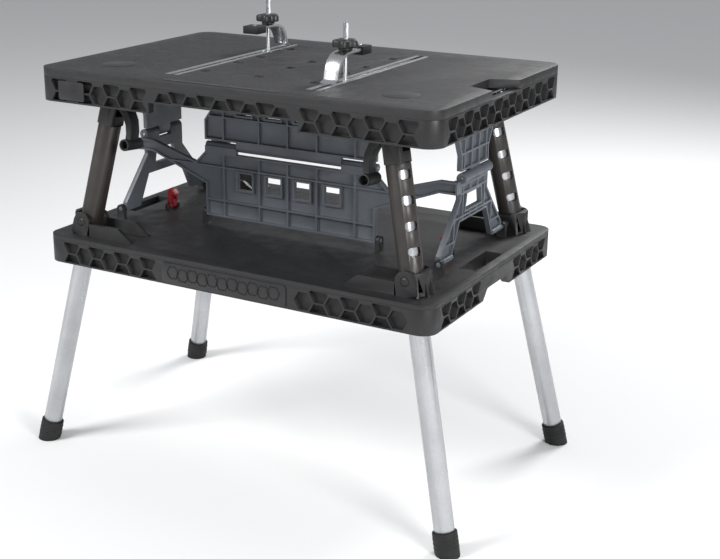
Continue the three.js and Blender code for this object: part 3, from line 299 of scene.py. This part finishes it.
BLACK = moulded_plastic("black_plastic", (0.013, 0.013, 0.014), 0.5)
SMOOTH_BLACK = moulded_plastic("smooth_black", (0.016, 0.016, 0.017), 0.4, 2200)
SLEEVE = moulded_plastic("sleeve_plastic", (0.03, 0.026, 0.023), 0.42)
GREY = moulded_plastic("grey_plastic", (0.105, 0.118, 0.135), 0.48, 1200, 0.16)
RED = moulded_plastic("red_plastic", (0.30, 0.008, 0.012), 0.4, 1600, 0.2)
RUBBER = moulded_plastic("rubber", (0.009, 0.009, 0.009), 0.75, 800)
ALUMINIUM = brushed_metal("aluminium", (0.52, 0.53, 0.55), 0.3, (1, 1, 0.02))
TRACK = brushed_metal("track_aluminium", (0.6, 0.61, 0.62), 0.26, (1, 0.02, 1))
STEEL = brushed_metal("plated_steel", (0.52, 0.53, 0.54), 0.3, (1, 1, 0.2))

deck_low, deck_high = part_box("top_deck")
shelf_low, shelf_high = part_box("shelf_skirt_front")
DECK_TOP = deck_high.z
DECK = hatched_deck("hatched_deck", (0.016, 0.016, 0.017), deck_high.x, deck_high.y, DECK_TOP)

SLOT_LOOK = {
    "black_plastic": BLACK, "sleeve_plastic": SLEEVE, "grey_plastic": GREY, "aluminium": ALUMINIUM,
    "steel": STEEL, "rubber": RUBBER, "red_plastic": RED,
}


# Carried-over solids: finish, softened edges and shading
def smoothing_group():
    group = bpy.data.node_groups.new("smooth_by_angle", "GeometryNodeTree")
    group.interface.new_socket("Geometry", in_out="INPUT", socket_type="NodeSocketGeometry")
    group.interface.new_socket("Geometry", in_out="OUTPUT", socket_type="NodeSocketGeometry")
    nodes, links = group.nodes, group.links
    start = nodes.new("NodeGroupInput")
    end = nodes.new("NodeGroupOutput")
    angle = nodes.new("GeometryNodeInputMeshEdgeAngle")
    sharp = nodes.new("FunctionNodeCompare")
    sharp.data_type = "FLOAT"
    sharp.operation = "GREATER_THAN"
    sharp.inputs["B"].default_value = SMOOTH_ANGLE
    faces = nodes.new("GeometryNodeSetShadeSmooth")
    faces.domain = "FACE"
    edges = nodes.new("GeometryNodeSetShadeSmooth")
    edges.domain = "EDGE"
    edges.inputs["Shade Smooth"].default_value = False
    links.new(angle.outputs["Unsigned Angle"], sharp.inputs["A"])
    links.new(start.outputs["Geometry"], faces.inputs["Geometry"])
    links.new(faces.outputs["Geometry"], edges.inputs["Geometry"])
    links.new(sharp.outputs["Result"], edges.inputs["Selection"])
    links.new(edges.outputs["Geometry"], end.inputs["Geometry"])
    return group


SMOOTHING = smoothing_group()


def soften(obj, width):
    weld = obj.modifiers.new("weld", "WELD")
    weld.merge_threshold = WELD_REACH
    if width:
        bevel = obj.modifiers.new("soft_edges", "BEVEL")
        bevel.width = width
        bevel.segments = EDGE_STEPS
        bevel.limit_method = "ANGLE"
        bevel.angle_limit = EDGE_ANGLE
    shade = obj.modifiers.new("shading", "NODES")
    shade.node_group = SMOOTHING


def look(obj, material):
    obj.data.materials.clear()
    obj.data.materials.append(material)


slot_of = {part["node"]: part["material_slot"] for part in frame["record"]["subparts"]}
for node, obj in frame["nodes"].items():
    look(obj, SLOT_LOOK[slot_of[node]])
    soften(obj, EDGE_SOFT)
look(frame["nodes"]["top_deck"], DECK)
for side in ("left", "right"):
    look(frame["nodes"]["track_" + side], TRACK)
    look(frame["nodes"]["clamp_strap_" + side], TRACK)


# Mesh helpers
def add_piece(name, mesh, body, material, width=0.0):
    obj = bpy.data.objects.new(name, mesh)
    bpy.context.scene.collection.objects.link(obj)
    look(obj, material)
    soften(obj, width)
    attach(obj, body)
    return obj


def lathe(profile, axis, centre, segments=32):
    """A closed body turned about an axis: the profile is (radius, height) from axis to axis."""
    turn = Vector((0, 0, 1)).rotation_difference(Vector(axis)).to_matrix().to_4x4()
    place = Matrix.Translation(Vector(centre)) @ turn
    bm = bmesh.new()
    rings = []
    for radius, height in profile:
        if radius == 0:
            rings.append([bm.verts.new(place @ Vector((0, 0, height)))] * segments)
            continue
        ring = []
        for step in range(segments):
            angle = 2 * math.pi * step / segments
            point = Vector((radius * math.cos(angle), radius * math.sin(angle), height))
            ring.append(bm.verts.new(place @ point))
        rings.append(ring)
    for low, high in zip(rings, rings[1:]):
        for i in range(segments):
            j = (i + 1) % segments
            corners = list(dict.fromkeys([low[i], low[j], high[j], high[i]]))
            bm.faces.new(corners)
    return finish_mesh(bm)


def torus(radius, thick, axis, centre, segments=40, sides=10):
    turn = Vector((0, 0, 1)).rotation_difference(Vector(axis)).to_matrix().to_4x4()
    place = Matrix.Translation(Vector(centre)) @ turn
    bm = bmesh.new()
    rings = []
    for step in range(segments):
        angle = 2 * math.pi * step / segments
        ring = []
        for side in range(sides):
            tilt = 2 * math.pi * side / sides
            reach = radius + thick * math.cos(tilt)
            rise = thick * math.sin(tilt)
            point = Vector((reach * math.cos(angle), reach * math.sin(angle), rise))
            ring.append(bm.verts.new(place @ point))
        rings.append(ring)
    for i in range(segments):
        low, high = rings[i], rings[(i + 1) % segments]
        for k in range(sides):
            n = (k + 1) % sides
            bm.faces.new([low[k], high[k], high[n], low[n]])
    return finish_mesh(bm)


def prism_into(bm, outline, depth, place):
    """Adds a straight prism: a flat outline (u, v) raised along w, set by a matrix."""
    floor = [bm.verts.new(place @ Vector((u, v, 0))) for u, v in outline]
    roof = [bm.verts.new(place @ Vector((u, v, depth))) for u, v in outline]
    bm.faces.new(list(reversed(floor)))
    bm.faces.new(roof)
    for i in range(len(outline)):
        j = (i + 1) % len(outline)
        bm.faces.new([floor[i], floor[j], roof[j], roof[i]])


def finish_mesh(bm):
    bmesh.ops.recalc_face_normals(bm, faces=bm.faces)
    mesh = bpy.data.meshes.new("piece")
    bm.to_mesh(mesh)
    bm.free()
    return mesh


def rounded(width, height, radius, steps=5):
    points = []
    for quarter, (sx, sy) in enumerate(((1, 1), (-1, 1), (-1, -1), (1, -1))):
        for step in range(steps + 1):
            angle = math.pi / 2 * (quarter + step / steps)
            points.append((sx * (width / 2 - radius) + radius * math.cos(angle),
                           sy * (height / 2 - radius) + radius * math.sin(angle)))
    return points


FACING_FRONT = Matrix(((1, 0, 0, 0), (0, 0, -1, 0), (0, 1, 0, 0), (0, 0, 0, 1)))


# Details of the work top
def deck_details():
    for side, name in ((-1, "left"), (1, "right")):
        centre = (side * DISC_AT[0], DISC_AT[1], DECK_TOP)
        profile = [(0, 0), (DISC_R, 0), (DISC_R, DISC_HIGH * DISC_SHOULDER),
                   (DISC_R - DISC_HIGH, DISC_HIGH), (0, DISC_HIGH)]
        add_piece("deck_disc_" + name, lathe(profile, (0, 0, 1), centre, 48), "top", SMOOTH_BLACK)
    bm = bmesh.new()
    front = deck_low.y + LEDGE_INSET
    length = LEDGE_X[1] - LEDGE_X[0]
    middle = (sum(LEDGE_X) / 2, front + LEDGE_BACK / 2, DECK_TOP)
    shape = rounded(length, LEDGE_BACK, LEDGE_CORNER)
    prism_into(bm, shape, LEDGE_HIGH, Matrix.Translation(middle))
    add_piece("deck_ledge", finish_mesh(bm), "top", SMOOTH_BLACK, LEDGE_SOFT)
    bm = bmesh.new()
    count = int(length / TICK_STEP)
    for i in range(1, count):
        tick = LEDGE_BACK * (TICK_LONG if i % TICK_LONG_EVERY == 0 else TICK_SHORT)
        place = Matrix.Translation((LEDGE_X[0] + i * TICK_STEP, front + tick / 2 + TICK_INSET,
                                    DECK_TOP + LEDGE_HIGH))
        prism_into(bm, rounded(TICK_WIDE, tick, TICK_CORNER, 2), TICK_HIGH, place)
    add_piece("deck_ticks", finish_mesh(bm), "top", GREY)
    for i, (x, y) in enumerate(DOG_HOLES):
        centre = (x, y, DECK_TOP - RIM_SINK)
        mesh = torus(DOG_HOLE_R + RIM_WIDTH / 2, RIM_WIDTH / 2, (0, 0, 1), centre, 32, 8)
        add_piece("dog_rim_%02d" % i, mesh, "top", SMOOTH_BLACK)
    skirt_low, skirt_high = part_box("top_skirt_front")
    bm = bmesh.new()
    badge = Vector((skirt_low.x + BADGE_EDGE + BADGE_SIZE[0] / 2, skirt_low.y,
                    (skirt_low.z + skirt_high.z) / 2))
    place = Matrix.Translation(badge) @ FACING_FRONT
    prism_into(bm, rounded(*BADGE_SIZE, BADGE_CORNER), BADGE_HIGH, place)
    add_piece("bare_badge", finish_mesh(bm), "top", SMOOTH_BLACK, BADGE_SOFT)


# Details of the shelf
def hexagon(u, v, radius):
    return [(u + radius * math.cos(math.pi / 3 * i), v + radius * math.sin(math.pi / 3 * i))
            for i in range(6)]


def shelf_details():
    middle_z = (shelf_low.z + shelf_high.z) / 2
    high = shelf_high.z - shelf_low.z - FRONT_PANEL_MARGIN
    front = Matrix.Translation((0, shelf_low.y, middle_z)) @ FACING_FRONT
    bm = bmesh.new()
    shape = rounded(2 * FRONT_PANEL_HALF, high, FRONT_PANEL_CORNER)
    prism_into(bm, shape, FRONT_PANEL_HIGH, front)
    add_piece("shelf_front_panel", finish_mesh(bm), "shelf", SMOOTH_BLACK,
              FRONT_PANEL_SOFT)
    bm = bmesh.new()
    lift = front @ Matrix.Translation((0, 0, FRONT_PANEL_HIGH))
    step = 1.5 * HEX_R
    columns = int((FRONT_PANEL_HALF - HEX_R) / step)
    for column in range(-columns, columns + 1):
        v = 0 if column % 2 == 0 else math.sqrt(3) / 2 * HEX_R * HEX_STAGGER
        outer = hexagon(column * step, v, HEX_R - HEX_LINE / 2)
        inner = hexagon(column * step, v, HEX_R - 1.5 * HEX_LINE)
        for i in range(6):
            j = (i + 1) % 6
            prism_into(bm, [outer[i], outer[j], inner[j], inner[i]], HEX_HIGH, lift)
    add_piece("shelf_front_hexagons", finish_mesh(bm), "shelf", SMOOTH_BLACK)


# Details of the legs
def leg_details():
    joints = {joint["name"]: joint for joint in frame["joints"]}
    for corner in ("front_left", "front_right", "rear_left", "rear_right"):
        slide = Vector(joints["foot_extend_" + corner]["axis"]).normalized()
        low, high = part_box("foot_" + corner)
        hinge = Vector(joints["tube_fold_" + corner]["pos_m"])
        floor = hinge + slide * ((low.z - hinge.z) / slide.z)
        tall = high.z - low.z
        for i, share in enumerate(FOOT_RIBS):
            centre = floor - slide * (share * tall)
            mesh = torus(RIB_RING_R, RIB_R, slide, centre)
            add_piece("foot_rib_%s_%d" % (corner, i), mesh, "foot_" + corner, RUBBER)
        pivot = joints["sleeve_fold_" + corner]
        pin_caps("sleeve_cap_" + corner, pivot, "leg_sleeve_" + corner, "sleeve_" + corner,
                 SMOOTH_BLACK, 1.0)
        swing = joints["lever_swing_" + corner]
        pin_caps("lever_cap_" + corner, swing, "lock_lever_" + corner, "lever_" + corner,
                 STEEL, 0.5)


def pin_caps(name, joint, node, body, finish, size):
    """Domed pin ends on both sides of a hinge, set where the solid's own pin stops."""
    axis = Vector(joint["axis"]).normalized()
    centre = Vector(joint["pos_m"])
    reach = [(vertex.co - centre).dot(axis) for vertex in frame["nodes"][node].data.vertices
             if (vertex.co - centre).cross(axis).length < CAP_R * CAP_SEARCH]
    for i, (end, way) in enumerate(((max(reach), 1), (min(reach), -1))):
        profile = [(CAP_R * size * wide, CAP_HIGH * high) for wide, high in CAP_PROFILE]
        mesh = lathe(profile, axis * way, centre + axis * end, 24)
        add_piece("%s_%d" % (name, i), mesh, body, finish)


# Clamp hardware: a cut thread on the rod, a moulded lobed knob and a stud on the pad
def thread_mesh(centre, low, high):
    turns = int((high - low) / THREAD_PITCH)
    bm = bmesh.new()
    previous = None
    for i in range(turns * THREAD_STEPS + 1):
        angle = 2 * math.pi * i / THREAD_STEPS
        z = low + THREAD_PITCH * i / THREAD_STEPS
        section = []
        for reach, rise in ((0, -THREAD_HALF), (THREAD_DEEP, 0), (0, THREAD_HALF)):
            radius = THREAD_R - THREAD_SINK + reach
            section.append(bm.verts.new((centre[0] + radius * math.cos(angle),
                                         centre[1] + radius * math.sin(angle),
                                         z + rise * THREAD_PITCH)))
        if previous is None:
            bm.faces.new(section)
        else:
            for a in range(3):
                b = (a + 1) % 3
                bm.faces.new([previous[a], section[a], section[b], previous[b]])
        previous = section
    bm.faces.new(list(reversed(previous)))
    return finish_mesh(bm)


def knob_mesh(centre, low, high):
    tall = high - low
    bm = bmesh.new()
    rings = []
    for scale, share in KNOB_SECTIONS:
        ring = []
        lobed = KNOB_LOBE_DEEP if KNOB_LOBED_FROM < share < KNOB_LOBED_TO else 0.0
        for i in range(KNOB_AROUND):
            angle = 2 * math.pi * i / KNOB_AROUND
            radius = KNOB_R * scale * (1 - lobed + lobed * math.cos(KNOB_LOBES * angle))
            ring.append(bm.verts.new((centre[0] + radius * math.cos(angle),
                                      centre[1] + radius * math.sin(angle), low + share * tall)))
        rings.append(ring)
    for below, above in zip(rings, rings[1:]):
        for i in range(KNOB_AROUND):
            j = (i + 1) % KNOB_AROUND
            bm.faces.new([below[i], below[j], above[j], above[i]])
    bm.faces.new(list(reversed(rings[0])))
    bm.faces.new(rings[-1])
    return finish_mesh(bm)


def clamp_details():
    for side in ("left", "right"):
        bolt_low, bolt_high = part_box("clamp_bolt_" + side)
        knob_low, knob_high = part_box("clamp_knob_" + side)
        centre = ((bolt_low.x + bolt_high.x) / 2, (bolt_low.y + bolt_high.y) / 2)
        mesh = thread_mesh(centre, knob_high.z + THREAD_FOOT, bolt_high.z - THREAD_END)
        add_piece("clamp_thread_" + side, mesh, "clamp_" + side, STEEL)
        knob = add_piece("moulded_knob_" + side, knob_mesh(centre, knob_low.z, knob_high.z),
                         "knob_" + side, SMOOTH_BLACK)
        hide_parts("clamp_knob_" + side)
        profile = [(STUD_R * wide, high) for wide, high in STUD_PROFILE]
        pad_low, pad_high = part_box("clamp_pad_" + side)
        stud = (centre[0], (pad_low.y + pad_high.y) / 2, pad_high.z)
        add_piece("pad_stud_" + side, lathe(profile, (0, 0, 1), stud, 24), "clamp_" + side, STEEL)


deck_details()
shelf_details()
leg_details()
clamp_details()


# Stage, light and camera
def make_stage():
    bpy.ops.mesh.primitive_plane_add(size=FLOOR_SIZE, location=(0, 0, -FLOOR_DROP))
    floor = bpy.context.object
    floor.name = "floor"
    material, *_, shader = start_material("pale_floor")
    shader.inputs["Base Color"].default_value = FLOOR_COLOUR
    shader.inputs["Roughness"].default_value = FLOOR_ROUGH
    look(floor, material)
    world = bpy.data.worlds.new("studio")
    world.use_nodes = True
    background = world.node_tree.nodes["Background"]
    background.inputs["Color"].default_value = WORLD_COLOUR
    background.inputs["Strength"].default_value = WORLD_STRENGTH
    bpy.context.scene.world = world
    for name, spot, size, power in LAMPS:
        lamp = bpy.data.lights.new(name, "AREA")
        lamp.shape = "DISK"
        lamp.size = size
        lamp.energy = power
        obj = bpy.data.objects.new(name, lamp)
        obj.location = spot
        aim = Vector(LAMP_AIM) - Vector(spot)
        obj.rotation_euler = aim.to_track_quat("-Z", "Y").to_euler()
        bpy.context.scene.collection.objects.link(obj)


def make_camera():
    data = bpy.data.cameras.new("camera")
    data.sensor_width = SENSOR
    data.lens = FOCAL_PX / IMAGE_WIDTH * SENSOR
    data.shift_x = (IMAGE_WIDTH / 2 - PRINCIPAL_PX[0]) / IMAGE_WIDTH
    data.shift_y = (PRINCIPAL_PX[1] - IMAGE_HEIGHT / 2) / IMAGE_WIDTH
    camera = bpy.data.objects.new("camera", data)
    camera.location = CAMERA_AT
    camera.rotation_euler = (math.radians(90 - CAMERA_PITCH), 0, math.radians(CAMERA_YAW))
    bpy.context.scene.collection.objects.link(camera)
    bpy.context.scene.camera = camera


make_stage()
make_camera()
bpy.context.scene.view_settings.view_transform = "Standard"
